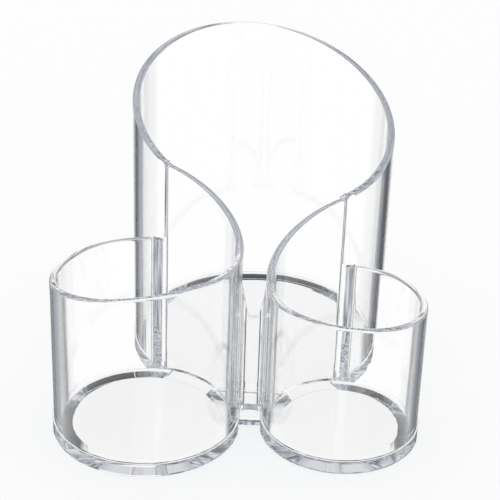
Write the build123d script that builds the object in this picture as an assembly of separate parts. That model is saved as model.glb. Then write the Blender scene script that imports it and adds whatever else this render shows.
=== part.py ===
from build123d import *
from math import asin, atan2, cos, degrees, hypot, pi, radians, sin, sqrt
import os

os.makedirs("parts", exist_ok=True)

# Driving dimensions, millimetres and degrees.
WALL = 2.5
LEFT_R = 33.0
RIGHT_R = 28.0
REAR_R = 48.5
CUP_GAP = 8.0
RIGHT_BACK = 2.0
LEFT_NEST = 6.46
RIGHT_NEST = 6.06

FLOOR_T = 4.6
RING_H = 5.2
RING_PROUD = 0.4
RING_CHAMFER = 0.25
FOOT_W = 1.4
CUP_SLOPE = 5.2
REAR_SLOPE = 7.0
RECESS_D = 1.25
NECK_W = 20.0

REAR_RIM_MID = 96.6
REAR_RIM_RISE = 0.355
REAR_RIM_LEAN = -0.125
LEFT_RIM_LOW = 58.5
LEFT_RIM_FRONT = 70.6
RIGHT_RIM_LOW = 52.3
RIGHT_RIM_FRONT = 58.0
SWEEP_LOW = -205.0
SWEEP_FRONT = -50.0
LEFT_CLIMB_FROM = -20.0
RIGHT_CLIMB_FROM = -35.0
CLIMB_EASE = 0.9
RIM_EASE = 0.25 * WALL
RAMP_SPLIT = 8.0
RAMP_OVERLAP = 4.0
RAMP_OVERRUN = 30.0
RAMP_MARGIN = 1.6 * WALL
RAMP_STEPS = 18

JOINT_R = 1.5
JOINT_BITE = 1.05
WEB_T = 2.5
WEB_BACK = 8.0
WEB_FILLET = 3.2
WEB_TOP = 56.6
WEB_NOTCH = 15.4
WEB_NOTCH_W = 3.4
LEDGE_BACK = 1.3
LEDGE_H = 3.0


def meeting(first, first_r, second, second_r, turn):
    """Point at given distances from two others, to the left or right of their line."""
    dx = second[0] - first[0]
    dy = second[1] - first[1]
    span = hypot(dx, dy)
    along = (first_r ** 2 - second_r ** 2 + span ** 2) / (2 * span)
    across = turn * sqrt(first_r ** 2 - along ** 2)
    x = first[0] + (along * dx - across * dy) / span
    y = first[1] + (along * dy + across * dx) / span
    return (x, y)


# Plan positions: the rear wall nests into both cups, and the box is centred on the origin.
OUT = RING_PROUD
CUP_SPAN = LEFT_R + CUP_GAP + RIGHT_R
LEFT_REACH = LEFT_R + REAR_R - LEFT_NEST
RIGHT_REACH = RIGHT_R + REAR_R - RIGHT_NEST
REAR_SIDE, REAR_BACK = meeting((0, 0), LEFT_REACH, (CUP_SPAN, RIGHT_BACK), RIGHT_REACH, 1)
WIDTH = LEFT_R + CUP_SPAN + RIGHT_R + 2 * OUT
DEPTH = LEFT_R + REAR_BACK + REAR_R + 2 * OUT
LEFT_X = -WIDTH / 2 + OUT + LEFT_R
LEFT_Y = -DEPTH / 2 + OUT + LEFT_R
LEFT = (LEFT_X, LEFT_Y)
RIGHT = (LEFT_X + CUP_SPAN, LEFT_Y + RIGHT_BACK)
REAR = (LEFT_X + REAR_SIDE, LEFT_Y + REAR_BACK)
MID_X = LEFT_X + LEFT_R + CUP_GAP / 2
TALL = REAR_RIM_MID + REAR_R


def disc(at, radius):
    """Flat round area at a plan position."""
    return Pos(at[0], at[1]) * Circle(radius)


def column(area, low, high):
    """Upright solid over a plan area between two heights."""
    return Pos(0, 0, low) * extrude(area, amount=high - low)


def rear_rim_height(x, y):
    """Height of the sloping plane that trims the tall rear wall."""
    rise = REAR_RIM_RISE * (y - REAR[1])
    lean = REAR_RIM_LEAN * (x - REAR[0])
    return REAR_RIM_MID + rise + lean


def join_angle(cup, radius):
    """Angle on a cup, from the side facing the other cup to its rear joint."""
    span = hypot(REAR[0] - cup[0], REAR[1] - cup[1])
    inner = radius - WALL
    reach = (inner ** 2 - REAR_R ** 2 + span ** 2) / (2 * span * inner)
    turn = pi / 2 - asin(max(-1.0, min(1.0, reach)))
    aim = atan2(REAR[1] - cup[1], abs(REAR[0] - cup[0]))
    return degrees(aim + turn)


def cup_rim_height(angle, low, front, join, climb_from, join_at):
    """Rim height on a cup: low behind, level in front, climbing to the rear wall."""
    rise = (angle - SWEEP_LOW) / (SWEEP_FRONT - SWEEP_LOW)
    rise = max(0.0, min(1.0, rise))
    climb = max(0.0, (angle - climb_from) / (join_at - climb_from))
    around = (front - low) * rise * rise * (3 - 2 * rise)
    up = (join - front) * climb * climb * (1 + CLIMB_EASE - CLIMB_EASE * climb)
    return low + around + up


def half_plan(cup, side, angle):
    """Half of the plan on a cup's outward side of a line through its centre."""
    big = 4 * REAR_R
    turned = Rot(0, 0, angle) * Pos(0, big / 2) * Rectangle(2 * big, big)
    if side < 0:
        turned = mirror(turned, about=Plane.YZ)
    return Pos(cup[0], cup[1]) * turned


def eased(body):
    """Bevel both long edges of a trimmed wall's rim."""
    rim = [e for e in body.edges() if is_rim(e)]
    return chamfer(rim, RIM_EASE)


def is_rim(edge):
    """Whether an edge runs along a rim: high up, long and not upright."""
    return edge.center().Z > 2 * RING_H and edge.geom_type != GeomType.LINE and edge.length > 4 * WALL


def below_rim(cup, radius, side, height, start, stop):
    """Solid under a ramp that follows a cup's rim between two angles."""
    edges = []
    for reach in (radius - WALL - RAMP_MARGIN, radius + RAMP_MARGIN):
        points = []
        for i in range(RAMP_STEPS + 1):
            a = start + (stop - start) * i / RAMP_STEPS
            x = cup[0] + side * reach * cos(radians(a))
            y = cup[1] + reach * sin(radians(a))
            points.append((x, y, height(a)))
        edges.append(Spline(*points))
    ramp = Face.make_surface_from_curves(edges[0], edges[1])
    return Solid.extrude(ramp, Vector(0, 0, -2 * TALL))


def cup_wall(cup, radius, side, low, front, climb_from):
    """Cup wall whose rim winds from the low back edge up into the rear wall."""
    join_at = join_angle(cup, radius)
    inner = radius - WALL
    jx = cup[0] + side * inner * cos(radians(join_at))
    jy = cup[1] + inner * sin(radians(join_at))
    join = rear_rim_height(jx, jy)

    def height(angle):
        return cup_rim_height(angle, low, front, join, climb_from, join_at)

    ring = disc(cup, radius) - disc(cup, inner)
    cut_at = join_at - RAMP_SPLIT
    lower_area = (ring - disc(REAR, REAR_R)) & half_plan(cup, side, cut_at)
    raised_area = ring - lower_area
    full = column(ring, FLOOR_T, 2 * TALL)
    first = join_at - 360 - RAMP_OVERRUN
    last = join_at + RAMP_OVERRUN
    behind = below_rim(cup, radius, side, height, first, cut_at - 180 + RAMP_OVERLAP)
    ahead = below_rim(cup, radius, side, height, cut_at - 180 - RAMP_OVERLAP, last)
    lower = eased(full & behind) & column(lower_area, 0, 2 * TALL)
    raised = eased(full & ahead) & column(raised_area, 0, 2 * TALL)
    return raised + lower


def rear_wall():
    """Tall wall that wraps the back from one cup to the other."""
    ring = disc(REAR, REAR_R) - disc(REAR, REAR_R - WALL)
    span = 2 * REAR_R
    corners = []
    for dx, dy in ((-span, -span), (span, -span), (span, span), (-span, span)):
        x = REAR[0] + dx
        y = REAR[1] + dy
        corners.append((x, y, rear_rim_height(x, y)))
    slope = Face(Wire.make_polygon(corners, close=True))
    under = Solid.extrude(slope, Vector(0, 0, -3 * TALL))
    body = eased(column(ring, FLOOR_T, 2 * TALL) & under)
    body = body - column(disc(LEFT, LEFT_R) + disc(RIGHT, RIGHT_R), 0, 2 * TALL)
    return body.solids().sort_by(SortBy.VOLUME)[-1]


def joint_area(cup, radius, side):
    """Plan of the curved corner between a cup and the rear wall."""
    hub = meeting(cup, radius + JOINT_R, REAR, REAR_R + JOINT_R, side)
    corner = make_face(Polyline(cup, REAR, hub, close=True))
    return corner - disc(cup, radius) - disc(REAR, REAR_R) - disc(hub, JOINT_BITE * JOINT_R)


def joint(cup, radius, side, top):
    """Upright corner piece that blends a cup into the rear wall."""
    return column(joint_area(cup, radius, side), FLOOR_T, top - RIM_EASE)


def bridge(front, back):
    """Plan of a bar between the centres of the two cups."""
    length = RIGHT[0] - LEFT[0]
    middle = (front + back) / 2
    return Pos(LEFT[0] + length / 2, LEFT[1] + middle) * Rectangle(length, back - front)


def web_area():
    """Plan of the web with its curved feet on both cups."""
    bar = bridge(WEB_BACK - WEB_T / 2, WEB_BACK + WEB_T / 2)
    cups = disc(LEFT, LEFT_R) + disc(RIGHT, RIGHT_R)
    joined = cups + bar
    corners = [v for v in joined.vertices() if abs(v.X - MID_X) < CUP_GAP]
    return fillet(corners, WEB_FILLET) - cups


def front_web():
    """Low wall between the cups, notched at the top."""
    body = column(web_area(), FLOOR_T, WEB_TOP)
    low = WEB_TOP - WEB_NOTCH
    half = WEB_NOTCH_W / 2
    wide = CUP_GAP / 2 + WALL / 2
    outline = Polyline((-wide, WEB_TOP + 1), (-half, low), (half, low), (wide, WEB_TOP + 1), close=True)
    notch = Plane.XZ * make_face(outline)
    tool = Pos(MID_X, 0) * extrude(notch, amount=DEPTH, both=True)
    return body - tool


def wells(grow):
    """Plan of the three round wells together, grown outwards."""
    plan = disc(LEFT, LEFT_R + grow) + disc(RIGHT, RIGHT_R + grow) + disc(REAR, REAR_R + grow)
    for cup, radius, side in ((LEFT, LEFT_R, 1), (RIGHT, RIGHT_R, -1)):
        outer = meeting(cup, radius + grow, REAR, REAR_R + grow, side)
        plan = fillet(plan.vertices().sort_by_distance((outer[0], outer[1], 0))[0], JOINT_R)
    return plan + bridge(LEDGE_BACK, REAR_BACK)


def dish(at, radius, slope):
    """Shallow round hollow with a sloping side, as a cutting solid."""
    edge = radius - FOOT_W
    return Pos(at[0], at[1]) * Cone(edge + slope, edge - slope, 2 * RECESS_D)


def neck(at):
    """Straight hollow that joins a cup's dish to the rear one, as a cutting solid."""
    length = hypot(REAR[0] - at[0], REAR[1] - at[1])
    turn = degrees(atan2(REAR[1] - at[1], REAR[0] - at[0]))
    bar = Pos(at[0], at[1]) * Rot(0, 0, turn) * Pos(length / 2, 0) * Rectangle(length, NECK_W)
    return column(bar, -RECESS_D, RECESS_D)


def base_plate():
    """Three-lobed floor with a proud ring and hollows underneath."""
    body = column(wells(OUT), 0, RING_H)
    rim = [e for e in body.edges() if e.geom_type == GeomType.CIRCLE]
    body = chamfer(rim, RING_CHAMFER)
    body = body - column(wells(0), FLOOR_T, 2 * RING_H)
    cups = disc(LEFT, LEFT_R) + disc(RIGHT, RIGHT_R)
    ledge = bridge(0, WEB_BACK - WEB_T / 2) - web_area() - cups
    body = body - column(ledge, LEDGE_H, 2 * RING_H)
    dishes = dish(LEFT, LEFT_R, CUP_SLOPE) + dish(RIGHT, RIGHT_R, CUP_SLOPE) + dish(REAR, REAR_R, REAR_SLOPE)
    return body - (dishes + neck(LEFT) + neck(RIGHT))


pieces = {
    "base_plate": base_plate(),
    "left_cup_wall": cup_wall(LEFT, LEFT_R, 1, LEFT_RIM_LOW, LEFT_RIM_FRONT, LEFT_CLIMB_FROM),
    "right_cup_wall": cup_wall(RIGHT, RIGHT_R, -1, RIGHT_RIM_LOW, RIGHT_RIM_FRONT, RIGHT_CLIMB_FROM),
    "rear_wall": rear_wall(),
    "front_web": front_web(),
    "left_joint": joint(LEFT, LEFT_R, 1, LEFT_RIM_LOW),
    "right_joint": joint(RIGHT, RIGHT_R, -1, RIGHT_RIM_LOW),
}

for node, shape in pieces.items():
    shape.label = node
    export_step(shape, "parts/" + node + ".step")
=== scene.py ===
import bmesh
import bpy
from math import atan2, ceil, cos, degrees, pi, radians, sin, sqrt
from mathutils import Matrix, Vector


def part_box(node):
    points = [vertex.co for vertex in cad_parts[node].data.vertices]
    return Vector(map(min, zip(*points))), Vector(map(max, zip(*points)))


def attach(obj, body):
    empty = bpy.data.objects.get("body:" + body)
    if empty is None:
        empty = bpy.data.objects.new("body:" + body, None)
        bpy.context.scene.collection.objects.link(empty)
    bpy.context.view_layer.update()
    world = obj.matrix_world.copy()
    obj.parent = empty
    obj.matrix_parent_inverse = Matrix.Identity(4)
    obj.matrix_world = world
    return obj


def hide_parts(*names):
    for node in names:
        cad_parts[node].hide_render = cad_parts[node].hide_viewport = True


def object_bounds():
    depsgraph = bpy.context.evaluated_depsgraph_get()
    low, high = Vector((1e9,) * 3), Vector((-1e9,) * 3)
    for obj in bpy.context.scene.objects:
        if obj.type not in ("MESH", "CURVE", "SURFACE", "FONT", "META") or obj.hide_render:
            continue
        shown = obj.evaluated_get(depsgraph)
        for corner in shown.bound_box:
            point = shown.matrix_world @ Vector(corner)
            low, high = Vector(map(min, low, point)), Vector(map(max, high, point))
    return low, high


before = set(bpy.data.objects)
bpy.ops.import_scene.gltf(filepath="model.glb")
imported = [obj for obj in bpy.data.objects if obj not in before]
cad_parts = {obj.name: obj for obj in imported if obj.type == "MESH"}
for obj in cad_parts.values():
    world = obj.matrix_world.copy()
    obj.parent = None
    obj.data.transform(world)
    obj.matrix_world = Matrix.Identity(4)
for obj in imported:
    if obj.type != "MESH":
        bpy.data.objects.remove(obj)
cad_low, cad_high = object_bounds()

MM = 0.001

# Wall, rim and floor sizes, in metres. SWEEP and CLIMB_FROM values are angles round a cup in degrees,
# RISE and LEAN are slopes of the tall rim's plane, and CLIMB_EASE is a share.
WALL = 2.5 * MM
LIP_R = 0.95 * MM
LIP_STEPS = 6
FLOOR_T = 4.6 * MM
RING_H = 5.2 * MM
RING_PROUD = 0.385 * MM
RING_ROUND = 0.3 * MM
FOOT_W = 1.4 * MM
CUP_SLOPE = 5.2 * MM
REAR_SLOPE = 7.0 * MM
NECK_W = 20.0 * MM
RECESS_D = 1.25 * MM
BURIED = 1.4 * MM

REAR_RIM_MID = 96.6 * MM
REAR_RIM_RISE = 0.355
REAR_RIM_LEAN = -0.125
LEFT_RIM_LOW = 58.5 * MM
LEFT_RIM_FRONT = 70.6 * MM
RIGHT_RIM_LOW = 52.3 * MM
RIGHT_RIM_FRONT = 58.0 * MM
SWEEP_LOW = -205.0
SWEEP_FRONT = -50.0
LEFT_CLIMB_FROM = -20.0
RIGHT_CLIMB_FROM = -35.0
CLIMB_EASE = 0.9

JOINT_R = 1.5 * MM
WEB_T = 2.5 * MM
WEB_BACK = 8.0 * MM
WEB_FILLET = 3.2 * MM
WEB_NOTCH = 15.4 * MM
WEB_NOTCH_W = 3.4 * MM
LEDGE_BACK = 1.3 * MM
LEDGE_H = 3.0 * MM

# Steps of round shapes, overlaps between pieces, angles from which an edge stays sharp, and how far
# cutting solids go past what they cut. CUTTER_REACH is a share of the holder's height, and FACE_WEIGHT
# is how strongly large faces set the shading, from 1 to 100.
STEP = 1.25
RING_STEPS = 3
CORNER_STEPS = 12
INNER_STEPS = 6
FOOT_STEPS = 8
CLIMB_INSIDE = 8.0
CLIMB_PAST = 14.0
REAR_PAST = 8.0
SHARP_FROM = 32.0
HOLLOW_SHARP = 4.0
FACE_WEIGHT = 100
RIM_COVER = LIP_R / 3
CUT_PAST = 1.0 * MM
NECK_UNDER = 0.5 * MM
NECK_SHY = 0.02 * MM
CUTTER_REACH = 1.5

# Plastic. EDGE_FROM and EDGE_FULL are shares of Layer Weight's Facing, over which a painted edge-on shade
# comes in. Light counts as trapped once it has bounced more often than TRAPPED_FROM.
WHITE = (1.0, 1.0, 1.0, 1.0)
PLASTIC_IOR = 1.49
GRAIN_SCALE = 60.0
GRAIN_DETAIL = 2.0
GRAIN_ROUGH = 0.005
EDGE_FROM = 0.8
EDGE_FULL = 0.98
# Painted shade that the plastic's colour darkens to where it is seen edge on.
EDGE_PAINTED_SHADE = (0.13, 0.14, 0.16, 1.0)
SHADOW_TINT = (0.96, 0.965, 0.97, 1.0)
BOUNCES = 16
TRAPPED_FROM = 13.5
TRAPPED_DARK = (0.15, 0.165, 0.19, 1.0)
TRAPPED_LIGHT = (0.66, 0.69, 0.74, 1.0)
STREAK_SCALE = 600.0
STREAK_DETAIL = 1.0
STREAK_STRETCH = 0.1
STREAK_LOW = 0.35
STREAK_HIGH = 0.65

# Floor.
FLOOR_SHADE = 0.985
FLOOR_ROUGH = 0.9
FLOOR_HALF = 2.0
FLOOR_DEEP = -10 * MM
FLOOR_Z = -0.05 * MM

# Studio. A card's stops are an angle from +Y in degrees and a shade. The sky's are the height of a
# direction, from 0 when level to 1 when upright, and a shade. The sky comes in between SKY_FROM and
# SKY_FULL and the cards fade between STEEP_FROM and STEEP_FULL, heights below level. COOL is the tint
# that a shade takes on as it darkens.
LEFT_CARD = ((-56.0, 1.0), (-50.0, 0.4), (-36.0, 0.45), (-31.0, 0.05), (-20.3, 0.05), (-19.3, 1.0))
RIGHT_CARD = ((18.5, 1.0), (19.3, 0.3), (21.0, 0.06), (32.0, 0.06), (37.0, 0.3), (50.0, 0.3), (56.0, 1.0))
SKY_STOPS = ((0.0, 0.5), (0.4, 0.62), (0.47, 0.5), (0.54, 0.12), (0.62, 0.05), (0.9, 0.05), (0.95, 0.35))
SKY_FROM = -0.22
SKY_FULL = -0.1
STEEP_FROM = -0.88
STEEP_FULL = -0.96
COOL = (0.91, 0.985, 1.1, 1.0)

# Camera: the focal length in image pixels, its place, its pitch, turn and roll in radians, and its reach.
IMAGE_PX = 500
FOCAL_PX = 1487.0
SENSOR_MM = 36.0
CAMERA_AT = Vector((11.87 * MM, -487.04 * MM, 300.13 * MM))
CAMERA_PITCH = 0.473
CAMERA_TURN = -0.0196
CAMERA_ROLL = 0.0338
CLIP_NEAR = 0.01
CLIP_FAR = 20.0


def round_node(node):
    """Plan centre and radius of a round CAD node whose full width shows in X."""
    low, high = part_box(node)
    radius = (high[0] - low[0]) / 2
    return Vector(((low[0] + high[0]) / 2, high[1] - radius)), radius


LEFT, LEFT_R = round_node("left_cup_wall")
RIGHT, RIGHT_R = round_node("right_cup_wall")
REAR, REAR_R = round_node("rear_wall")
WEB_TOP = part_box("front_web")[1][2]
MID_X = (LEFT.x + LEFT_R + RIGHT.x - RIGHT_R) / 2
TALL = cad_high[2] * CUTTER_REACH


def meeting(first, first_r, second, second_r, turn):
    """Point at given distances from two others, to the left or right of their line."""
    line = second - first
    span = line.length
    along = (first_r ** 2 - second_r ** 2 + span ** 2) / (2 * span)
    across = turn * sqrt(first_r ** 2 - along ** 2)
    return first + (line * along + Vector((-line.y, line.x)) * across) / span


def at_angle(centre, radius, side, angle):
    """Plan point at an angle round a centre, mirrored for side -1."""
    a = radians(angle)
    return Vector((centre.x + side * radius * cos(a), centre.y + radius * sin(a)))


def angle_of(point, centre, side):
    """Angle of a plan point round a centre, mirrored for side -1."""
    return degrees(atan2(point.y - centre.y, side * (point.x - centre.x)))


# Rim heights

def rear_rim(x, y):
    """Height of the sloping plane of the tall rim."""
    return REAR_RIM_MID + REAR_RIM_RISE * (y - REAR.y) + REAR_RIM_LEAN * (x - REAR.x)


def eased(share):
    """Share of a rise that starts and ends level."""
    share = max(0.0, min(1.0, share))
    return share * share * (3 - 2 * share)


def cup_rim(angle, low, front, join, climb_from, join_at):
    """Rim height on a cup: low behind, level in front, climbing to the rear wall."""
    around = (front - low) * eased((angle - SWEEP_LOW) / (SWEEP_FRONT - SWEEP_LOW))
    climb = max(0.0, (angle - climb_from) / (join_at - climb_from))
    up = (join - front) * climb * climb * (1 + CLIMB_EASE - CLIMB_EASE * climb)
    return low + around + up


# Mesh building

def to_object(bm, name):
    """Object of a finished mesh, linked to the scene."""
    bmesh.ops.recalc_face_normals(bm, faces=bm.faces)
    mesh = bpy.data.meshes.new(name)
    bm.to_mesh(mesh)
    bm.free()
    obj = bpy.data.objects.new(name, mesh)
    bpy.context.scene.collection.objects.link(obj)
    return obj


def sweep(name, centre, side, sections, closed):
    """Solid through sections, each an angle and a list of (radius, height) points."""
    bm = bmesh.new()
    rings = []
    for angle, points in sections:
        ring = []
        for radius, z in points:
            at = at_angle(centre, radius, side, angle)
            ring.append(bm.verts.new((at.x, at.y, z)))
        rings.append(ring)
    count = len(rings[0])
    pairs = list(zip(rings, rings[1:]))
    if closed:
        pairs.append((rings[-1], rings[0]))
    for a, b in pairs:
        for i in range(count):
            j = (i + 1) % count
            bm.faces.new((a[i], a[j], b[j], b[i]))
    if not closed:
        bm.faces.new(rings[0])
        bm.faces.new(rings[-1])
    return to_object(bm, name)


def lip_section(inner, outer, low, top):
    """Upright wall section with a rounded rim; top gives the height at a radius."""
    points = [(inner, low), (outer, low)]
    for i in range(LIP_STEPS + 1):
        a = pi / 2 * i / LIP_STEPS
        radius = outer - LIP_R + LIP_R * cos(a)
        points.append((radius, top(radius) - LIP_R + LIP_R * sin(a)))
    for i in range(LIP_STEPS + 1):
        a = pi / 2 - pi / 2 * i / LIP_STEPS
        radius = inner + LIP_R - LIP_R * cos(a)
        points.append((radius, top(radius) - LIP_R + LIP_R * sin(a)))
    return points


def steps(start, stop):
    """Angles on the common grid that cover a range."""
    first = int(start // STEP)
    last = ceil(stop / STEP)
    return [i * STEP for i in range(first, last + 1)]


def lathe(name, centre, points):
    """Closed solid of revolution; the first and last points lie on the axis."""
    bm = bmesh.new()
    count = int(360 / STEP)
    bottom = bm.verts.new((centre.x, centre.y, points[0][1]))
    top = bm.verts.new((centre.x, centre.y, points[-1][1]))
    rings = []
    for radius, z in points[1:-1]:
        ring = []
        for i in range(count):
            at = at_angle(centre, radius, 1, i * STEP)
            ring.append(bm.verts.new((at.x, at.y, z)))
        rings.append(ring)
    for i in range(count):
        j = (i + 1) % count
        bm.faces.new((bottom, rings[0][j], rings[0][i]))
        bm.faces.new((top, rings[-1][i], rings[-1][j]))
        for a, b in zip(rings, rings[1:]):
            bm.faces.new((a[i], a[j], b[j], b[i]))
    return to_object(bm, name)


def drum(name, centre, radius, low, high):
    """Plain cylinder between two heights."""
    return lathe(name, centre, [(0, low), (radius, low), (radius, high), (0, high)])


def prism(name, outline, low, high):
    """Upright solid over a plan outline."""
    bm = bmesh.new()
    under = [bm.verts.new((p[0], p[1], low)) for p in outline]
    over = [bm.verts.new((p[0], p[1], high)) for p in outline]
    count = len(outline)
    for i in range(count):
        j = (i + 1) % count
        bm.faces.new((under[i], under[j], over[j], over[i]))
    bm.faces.new(under)
    bm.faces.new(over)
    return to_object(bm, name)


def slab(name, x0, x1, y0, y1, z0, z1):
    """Rectangular block."""
    return prism(name, [(x0, y0), (x1, y0), (x1, y1), (x0, y1)], z0, z1)


def combine(body, tools, operation):
    """Joins, cuts or intersects a body with other solids, which are used up."""
    for tool in tools:
        change = body.modifiers.new(operation.lower(), "BOOLEAN")
        change.operation = operation
        change.solver = "MANIFOLD"
        change.object = tool
        settle(body)
        mesh = tool.data
        bpy.data.objects.remove(tool)
        bpy.data.meshes.remove(mesh)
    return body


def settle(body):
    """Applies an object's modifiers to its mesh."""
    graph = bpy.context.evaluated_depsgraph_get()
    made = bpy.data.meshes.new_from_object(body.evaluated_get(graph))
    old = body.data
    body.modifiers.clear()
    body.data = made
    bpy.data.meshes.remove(old)


def arc(centre, radius, start, stop, count):
    """Points along an arc, from one plan point's direction to another's, the short way."""
    first = atan2(start.y - centre.y, start.x - centre.x)
    turn = atan2(stop.y - centre.y, stop.x - centre.x) - first
    turn = (turn + pi) % (2 * pi) - pi
    points = []
    for i in range(count + 1):
        a = first + turn * i / count
        points.append(Vector((centre.x + radius * cos(a), centre.y + radius * sin(a))))
    return points


# Pieces of the moulding

def cup(name, centre, radius, side, low, front, climb_from):
    """Cup wall whose rim winds from the low back edge up into the rear wall."""
    inner = radius - WALL
    crease = meeting(centre, inner, REAR, REAR_R, side)
    join_at = angle_of(crease, centre, side)
    join = rear_rim(crease.x, crease.y)
    shared_from = angle_of(meeting(centre, radius, REAR, REAR_R, -side), centre, side)
    climb_start = shared_from + CLIMB_INSIDE

    def height(angle):
        return cup_rim(angle, low, front, join, climb_from, join_at)

    ring = []
    for angle in steps(-180, 180 - 2 * STEP):
        if climb_start < angle <= join_at:
            top = low
        else:
            top = height(angle if angle <= join_at else angle - 360)
        ring.append((angle, lip_section(inner, radius, BURIED, lambda r: top)))
    climb = []
    for angle in steps(climb_start - 2 * STEP, join_at + CLIMB_PAST):
        top = height(angle)
        climb.append((angle, lip_section(inner, radius, BURIED, lambda r: top)))
    body = sweep(name, centre, side, ring, True)
    rise = sweep(name + "_climb", centre, side, climb, False)
    combine(rise, [drum(name + "_trim", REAR, REAR_R, 0, TALL)], "INTERSECT")
    return combine(body, [rise], "UNION")


def rear_top(angle):
    """Function that gives the height of the tall rim at a radius, for one angle."""
    def top(radius):
        at = at_angle(REAR, radius, 1, angle)
        return rear_rim(at.x, at.y)
    return top


def rear():
    """Tall wall that wraps the back from one cup to the other."""
    inner = REAR_R - WALL
    start = angle_of(meeting(RIGHT, RIGHT_R, REAR, REAR_R, -1), REAR, 1)
    stop = angle_of(meeting(LEFT, LEFT_R, REAR, REAR_R, 1), REAR, 1) + 360
    sections = []
    for angle in steps(start - REAR_PAST, stop + REAR_PAST):
        sections.append((angle, lip_section(inner, REAR_R, BURIED, rear_top(angle))))
    body = sweep("rear", REAR, 1, sections, False)
    left = drum("left_trim", LEFT, LEFT_R - WALL / 2, 0, TALL)
    right = drum("right_trim", RIGHT, RIGHT_R - WALL / 2, 0, TALL)
    return combine(body, [left, right], "DIFFERENCE")


def corner(name, centre, radius, side, grow, low, high):
    """Upright fillet that fills the outer corner between a cup and the rear wall."""
    hub = meeting(centre, radius + grow + JOINT_R, REAR, REAR_R + grow + JOINT_R, side)
    outline = arc(hub, JOINT_R, centre, REAR, CORNER_STEPS)
    outline.append(meeting(centre, radius - WALL / 2, REAR, REAR_R - WALL / 2, side))
    return prism(name, outline, low, high)


def inner_corner(name, centre, radius, side):
    """Upright fillet inside the tall well, between a cup's wall and the rear wall."""
    hub = meeting(centre, radius + JOINT_R, REAR, REAR_R - WALL - JOINT_R, side)
    outline = arc(hub, JOINT_R, centre, hub + (hub - REAR), INNER_STEPS)
    outline.append(meeting(centre, radius - WALL / 2, REAR, REAR_R - WALL / 2, side))
    body = prism(name, outline, BURIED, TALL)
    return combine(body, [under_rim()], "INTERSECT")


def under_rim():
    """Block that fills the space under the sloping plane of the tall rim."""
    bm = bmesh.new()
    corners = []
    for drop in (TALL, RIM_COVER):
        for dx, dy in ((-1, -1), (1, -1), (1, 1), (-1, 1)):
            x = REAR.x + dx * 2 * REAR_R
            y = REAR.y + dy * 2 * REAR_R
            corners.append(bm.verts.new((x, y, rear_rim(x, y) - drop)))
    for quad in ((0, 1, 2, 3), (4, 5, 6, 7), (0, 1, 5, 4), (1, 2, 6, 5), (2, 3, 7, 6), (3, 0, 4, 7)):
        bm.faces.new([corners[i] for i in quad])
    return to_object(bm, "under_rim")


def foot(centre, radius, side, line, face):
    """Arc where a web face at a plan height meets a cup; face is 1 behind and -1 in front."""
    hub_y = line + face * WEB_FILLET
    reach = radius + WEB_FILLET
    hub = Vector((centre.x + side * sqrt(reach ** 2 - (hub_y - centre.y) ** 2), hub_y))
    return arc(hub, WEB_FILLET, centre, Vector((hub.x, line)), FOOT_STEPS)


def web():
    """Low wall between the cups, with a notch in its top."""
    front = LEFT.y + WEB_BACK - WEB_T / 2
    back = LEFT.y + WEB_BACK + WEB_T / 2
    outline = [LEFT + Vector((LEFT_R - WALL / 2, front - LEFT.y))]
    outline += foot(LEFT, LEFT_R, 1, front, -1)
    outline += reversed(foot(RIGHT, RIGHT_R, -1, front, -1))
    outline.append(RIGHT + Vector((WALL / 2 - RIGHT_R, front - RIGHT.y)))
    outline.append(RIGHT + Vector((WALL / 2 - RIGHT_R, back - RIGHT.y)))
    outline += foot(RIGHT, RIGHT_R, -1, back, 1)
    outline += reversed(foot(LEFT, LEFT_R, 1, back, 1))
    outline.append(LEFT + Vector((LEFT_R - WALL / 2, back - LEFT.y)))
    body = prism("web", outline, BURIED, WEB_TOP)
    return combine(body, [notch(front, back)], "DIFFERENCE")


def notch(front, back):
    """V-shaped cutting solid for the top of the web, through its front and back faces."""
    wide = (RIGHT.x - RIGHT_R - LEFT.x - LEFT_R) / 2 + WALL / 2
    low = WEB_TOP - WEB_NOTCH
    half = WEB_NOTCH_W / 2
    bm = bmesh.new()
    ends = []
    for y in (front - WALL, back + WALL):
        shape = ((-wide, WEB_TOP + CUT_PAST), (-half, low), (half, low), (wide, WEB_TOP + CUT_PAST))
        ends.append([bm.verts.new((MID_X + x, y, z)) for x, z in shape])
    for i in range(4):
        j = (i + 1) % 4
        bm.faces.new((ends[0][i], ends[0][j], ends[1][j], ends[1][i]))
    bm.faces.new(ends[0])
    bm.faces.new(ends[1])
    return to_object(bm, "notch")


def lobe_section(radius):
    """Half section of a round lobe of the floor, with the ring's rounded edges."""
    edge = radius + RING_PROUD - RING_ROUND
    points = [(0, 0)]
    for hub_z, quarter in ((RING_ROUND, -1), (RING_H - RING_ROUND, 0)):
        for i in range(RING_STEPS + 1):
            a = pi / 2 * (i / RING_STEPS + quarter)
            points.append((edge + RING_ROUND * cos(a), hub_z + RING_ROUND * sin(a)))
    points.append((0, RING_H))
    return points


def base():
    """Three-lobed floor with a proud ring and hollows underneath."""
    rounds = ((LEFT, LEFT_R), (RIGHT, RIGHT_R), (REAR, REAR_R))
    lobes = [lathe("lobe", at, lobe_section(radius)) for at, radius in rounds]
    lobes.append(corner("left_fill", LEFT, LEFT_R, 1, RING_PROUD, 0, RING_H))
    lobes.append(corner("right_fill", RIGHT, RIGHT_R, -1, RING_PROUD, 0, RING_H))
    web_y = LEFT.y + WEB_BACK
    lobes.append(slab("ledge", LEFT.x, RIGHT.x, LEFT.y + LEDGE_BACK, web_y, 0, LEDGE_H))
    lobes.append(slab("floor", LEFT.x, RIGHT.x, web_y - WEB_T / 4, REAR.y, 0, FLOOR_T))
    body = combine(lobes[0], lobes[1:], "UNION")
    sunk = [drum("sunk", at, radius - WALL / 2, FLOOR_T, 2 * RING_H) for at, radius in rounds]
    combine(body, sunk, "DIFFERENCE")
    hollows = [dish(LEFT, LEFT_R, CUP_SLOPE), dish(RIGHT, RIGHT_R, CUP_SLOPE)]
    hollows += [dish(REAR, REAR_R, REAR_SLOPE), neck(LEFT), neck(RIGHT)]
    combine(hollows[0], hollows[1:], "UNION")
    return combine(body, hollows[:1], "DIFFERENCE")


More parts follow.
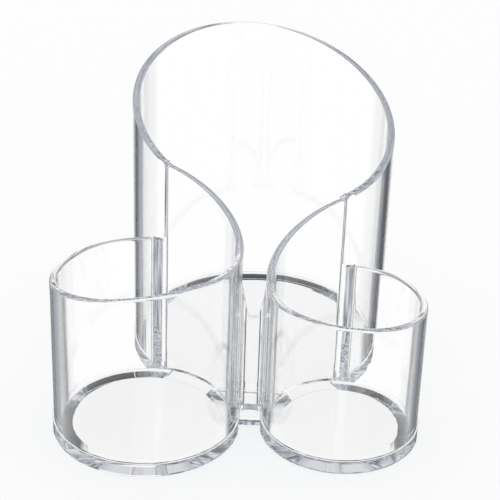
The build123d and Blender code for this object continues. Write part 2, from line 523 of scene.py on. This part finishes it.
def dish(centre, radius, slope):
    """Shallow round hollow with a sloping side, as a cutting solid."""
    edge = radius - FOOT_W
    below = edge + slope * CUT_PAST / RECESS_D
    points = [(0, -CUT_PAST), (below, -CUT_PAST), (edge - slope, RECESS_D), (0, RECESS_D)]
    return lathe("dish", centre, points)


def neck(centre):
    """Straight hollow that joins a cup's dish to the rear one, as a cutting solid."""
    along = (REAR - centre).normalized()
    beside = Vector((-along.y, along.x)) * NECK_W / 2
    outline = [centre - beside, REAR - beside, REAR + beside, centre + beside]
    return prism("neck", outline, -NECK_UNDER, RECESS_D - NECK_SHY)


def holder():
    """The whole clear moulding in one mesh."""
    left_cup = cup("left_cup", LEFT, LEFT_R, 1, LEFT_RIM_LOW, LEFT_RIM_FRONT, LEFT_CLIMB_FROM)
    right_cup = cup("right_cup", RIGHT, RIGHT_R, -1, RIGHT_RIM_LOW, RIGHT_RIM_FRONT, RIGHT_CLIMB_FROM)
    left_corner = corner("left_corner", LEFT, LEFT_R, 1, 0, BURIED, LEFT_RIM_LOW - LIP_R)
    right_corner = corner("right_corner", RIGHT, RIGHT_R, -1, 0, BURIED, RIGHT_RIM_LOW - LIP_R)
    left_inner = inner_corner("left_inner", LEFT, LEFT_R, 1)
    right_inner = inner_corner("right_inner", RIGHT, RIGHT_R, -1)
    corners = [left_corner, right_corner, web(), left_inner, right_inner]
    whole = base()
    whole.name = "clear_holder"
    return combine(whole, [rear(), left_cup, right_cup] + corners, "UNION")


# Shading of the mesh

def crisp_hollows(obj):
    """Keeps the low edges of the hollows under the floor crisp."""
    bm = bmesh.new()
    bm.from_mesh(obj.data)
    for edge in bm.edges:
        top = max(v.co.z for v in edge.verts)
        if top < BURIED and edge.calc_face_angle(0.0) > radians(HOLLOW_SHARP):
            edge.smooth = False
    bm.to_mesh(obj.data)
    bm.free()


def smooth(obj):
    """Smooth shading that leaves flat faces flat and real edges sharp."""
    obj.data.polygons.foreach_set("use_smooth", [True] * len(obj.data.polygons))
    obj.data.set_sharp_from_angle(angle=radians(SHARP_FROM))
    crisp_hollows(obj)
    weigh = obj.modifiers.new("weigh", "WEIGHTED_NORMAL")
    weigh.mode = "FACE_AREA"
    weigh.weight = FACE_WEIGHT
    weigh.keep_sharp = True
    settle(obj)


body = holder()
smooth(body)
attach(body, "root")
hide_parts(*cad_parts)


# Node helpers

def put(tree, socket, value):
    """Gives a socket a fixed value, or links it to the socket that the value comes from."""
    if isinstance(value, bpy.types.NodeSocket):
        tree.links.new(value, socket)
    else:
        socket.default_value = value


def worked(tree, operation, first, second):
    """Result of an operation on two values."""
    node = tree.nodes.new("ShaderNodeMath")
    node.operation = operation
    put(tree, node.inputs[0], first)
    put(tree, node.inputs[1], second)
    return node.outputs["Value"]


def share_of(tree, value, start, stop, kind="SMOOTHSTEP"):
    """Share from 0 to 1 of the way that a value has gone from start to stop."""
    node = tree.nodes.new("ShaderNodeMapRange")
    node.interpolation_type = kind
    put(tree, node.inputs["Value"], value)
    put(tree, node.inputs["From Min"], start)
    put(tree, node.inputs["From Max"], stop)
    return node.outputs["Result"]


def blend(tree, kind, share, first, second):
    """Blend of two shades (FLOAT) or two colours (RGBA)."""
    node = tree.nodes.new("ShaderNodeMix")
    node.data_type = kind
    put(tree, node.inputs["Factor"], share)
    put(tree, node.inputs["A"], first)
    put(tree, node.inputs["B"], second)
    return node.outputs["Result"]


def mixed(tree, share, first, second):
    """Mix of two shaders."""
    node = tree.nodes.new("ShaderNodeMixShader")
    put(tree, node.inputs["Fac"], share)
    put(tree, node.inputs[1], first)
    put(tree, node.inputs[2], second)
    return node.outputs["Shader"]


def either(tree, first, second):
    """Value that is 1 for either of two kinds of ray."""
    path = tree.nodes.new("ShaderNodeLightPath")
    return worked(tree, "MAXIMUM", path.outputs[first], path.outputs[second])


def noise(tree, place, scale, detail):
    """Noise at a place."""
    node = tree.nodes.new("ShaderNodeTexNoise")
    put(tree, node.inputs["Vector"], place)
    put(tree, node.inputs["Scale"], scale)
    put(tree, node.inputs["Detail"], detail)
    return node.outputs["Fac"]


def grey_ramp(tree, stops, value):
    """Grey at a value, from stops that are each a place from 0 to 1 and a shade."""
    node = tree.nodes.new("ShaderNodeValToRGB")
    while len(node.color_ramp.elements) < len(stops):
        node.color_ramp.elements.new(1.0)
    for element, (place, shade) in zip(node.color_ramp.elements, stops):
        element.position = place
        element.color = (shade, shade, shade, 1.0)
    put(tree, node.inputs["Fac"], value)
    return node.outputs["Color"]


def new_material(name):
    """Material with nodes, and its node tree."""
    material = bpy.data.materials.new(name)
    material.use_nodes = True
    return material, material.node_tree


# Materials

def painted_edge_shade(tree):
    """White, darkening to a painted shade where the outside of a surface is seen edge on."""
    facing = tree.nodes.new("ShaderNodeLayerWeight").outputs["Facing"]
    inside = tree.nodes.new("ShaderNodeNewGeometry").outputs["Backfacing"]
    edge_on = share_of(tree, facing, EDGE_FROM, EDGE_FULL)
    return blend(tree, "RGBA", worked(tree, "SUBTRACT", edge_on, inside), WHITE, EDGE_PAINTED_SHADE)


def trapped_light(tree, place):
    """Grey glow with upright streaks, for light that doesn't find its way out of the plastic."""
    stretch = tree.nodes.new("ShaderNodeMapping")
    put(tree, stretch.inputs["Vector"], place)
    put(tree, stretch.inputs["Scale"], (1.0, 1.0, STREAK_STRETCH))
    streak = noise(tree, stretch.outputs["Vector"], STREAK_SCALE, STREAK_DETAIL)
    share = share_of(tree, streak, STREAK_LOW, STREAK_HIGH, "LINEAR")
    glow = tree.nodes.new("ShaderNodeEmission")
    put(tree, glow.inputs["Color"], blend(tree, "RGBA", share, TRAPPED_DARK, TRAPPED_LIGHT))
    return glow.outputs["Emission"]


def clear_plastic():
    """Clear plastic with a slightly uneven polish, which lets shadow and diffuse rays straight through."""
    material, tree = new_material("clear_plastic")
    place = tree.nodes.new("ShaderNodeTexCoord").outputs["Object"]
    grain = noise(tree, place, GRAIN_SCALE, GRAIN_DETAIL)
    polished = tree.nodes["Principled BSDF"]
    put(tree, polished.inputs["Transmission Weight"], 1.0)
    put(tree, polished.inputs["IOR"], PLASTIC_IOR)
    put(tree, polished.inputs["Roughness"], worked(tree, "MULTIPLY", grain, GRAIN_ROUGH))
    # The base colour darkens to a painted shade where the plastic is seen edge on.
    put(tree, polished.inputs["Base Color"], painted_edge_shade(tree))
    depth = tree.nodes.new("ShaderNodeLightPath").outputs["Ray Depth"]
    trapped = worked(tree, "GREATER_THAN", depth, TRAPPED_FROM)
    seen = mixed(tree, trapped, polished.outputs["BSDF"], trapped_light(tree, place))
    passing = tree.nodes.new("ShaderNodeBsdfTransparent")
    put(tree, passing.inputs["Color"], SHADOW_TINT)
    passes = either(tree, "Is Shadow Ray", "Is Diffuse Ray")
    surface = mixed(tree, passes, seen, passing.outputs["BSDF"])
    put(tree, tree.nodes["Material Output"].inputs["Surface"], surface)
    return material


def white_floor():
    """Plain pale floor that glossy and see-through rays pass, so that the plastic shows the studio."""
    material, tree = new_material("white_floor")
    matt = tree.nodes["Principled BSDF"]
    put(tree, matt.inputs["Base Color"], (FLOOR_SHADE, FLOOR_SHADE, FLOOR_SHADE, 1.0))
    put(tree, matt.inputs["Roughness"], FLOOR_ROUGH)
    put(tree, matt.inputs["Specular IOR Level"], 0.0)
    passing = tree.nodes.new("ShaderNodeBsdfTransparent")
    passes = either(tree, "Is Glossy Ray", "Is Transmission Ray")
    surface = mixed(tree, passes, matt.outputs["BSDF"], passing.outputs["BSDF"])
    put(tree, tree.nodes["Material Output"].inputs["Surface"], surface)
    return material


body.data.materials.clear()
body.data.materials.append(clear_plastic())

floor = slab("floor", -FLOOR_HALF, FLOOR_HALF, -FLOOR_HALF, FLOOR_HALF, FLOOR_DEEP, FLOOR_Z)
floor.data.materials.append(white_floor())


# World

def cards(tree, way):
    """Shade of the upright cards in a direction, fading to white for rays that go steeply down."""
    stops = [(angle / 360 + 0.5, shade) for angle, shade in LEFT_CARD + RIGHT_CARD]
    turn = worked(tree, "ARCTAN2", way.outputs["X"], way.outputs["Y"])
    card = grey_ramp(tree, stops, share_of(tree, turn, -pi, pi, "LINEAR"))
    steep = share_of(tree, way.outputs["Z"], STEEP_FROM, STEEP_FULL)
    return worked(tree, "MAXIMUM", steep, card)


def dim_room(tree):
    """Grey cards, and a dark ceiling for see-through rays, all cooler where they are darker."""
    way = tree.nodes.new("ShaderNodeSeparateXYZ")
    put(tree, way.inputs["Vector"], tree.nodes.new("ShaderNodeTexCoord").outputs["Generated"])
    rise = share_of(tree, way.outputs["Z"], SKY_FROM, SKY_FULL)
    through = tree.nodes.new("ShaderNodeLightPath").outputs["Is Transmission Ray"]
    sky = grey_ramp(tree, SKY_STOPS, way.outputs["Z"])
    shade = blend(tree, "FLOAT", worked(tree, "MULTIPLY", rise, through), cards(tree, way), sky)
    room = tree.nodes.new("ShaderNodeBackground")
    put(tree, room.inputs["Color"], blend(tree, "RGBA", shade, COOL, WHITE))
    put(tree, room.inputs["Strength"], shade)
    return room.outputs["Background"]


def studio():
    """White room that lights the scene; glossy and see-through rays meet a dimmer one."""
    world = bpy.data.worlds.new("studio")
    bpy.context.scene.world = world
    world.use_nodes = True
    tree = world.node_tree
    plain = tree.nodes["Background"]
    put(tree, plain.inputs["Color"], WHITE)
    dimmer = either(tree, "Is Glossy Ray", "Is Transmission Ray")
    surface = mixed(tree, dimmer, plain.outputs["Background"], dim_room(tree))
    put(tree, tree.nodes["World Output"].inputs["Surface"], surface)


studio()
bpy.context.scene.cycles.max_bounces = BOUNCES
bpy.context.scene.cycles.transmission_bounces = BOUNCES
bpy.context.scene.cycles.glossy_bounces = BOUNCES


# Camera

def look():
    """Camera at the photograph's place and angle."""
    data = bpy.data.cameras.new("camera")
    data.sensor_width = SENSOR_MM
    data.lens = FOCAL_PX / IMAGE_PX * SENSOR_MM
    data.clip_start = CLIP_NEAR
    data.clip_end = CLIP_FAR
    ahead = Vector((
        sin(CAMERA_TURN) * cos(CAMERA_PITCH),
        cos(CAMERA_TURN) * cos(CAMERA_PITCH),
        -sin(CAMERA_PITCH),
    ))
    level = ahead.cross(Vector((0, 0, 1))).normalized()
    upright = level.cross(ahead)
    across = level * cos(CAMERA_ROLL) + upright * sin(CAMERA_ROLL)
    up = upright * cos(CAMERA_ROLL) - level * sin(CAMERA_ROLL)
    camera = bpy.data.objects.new("camera", data)
    bpy.context.scene.collection.objects.link(camera)
    turned = Matrix((across, up, -ahead)).transposed().to_4x4()
    camera.matrix_world = Matrix.Translation(CAMERA_AT) @ turned
    bpy.context.scene.camera = camera


look()
bpy.context.scene.view_settings.view_transform = "Standard"
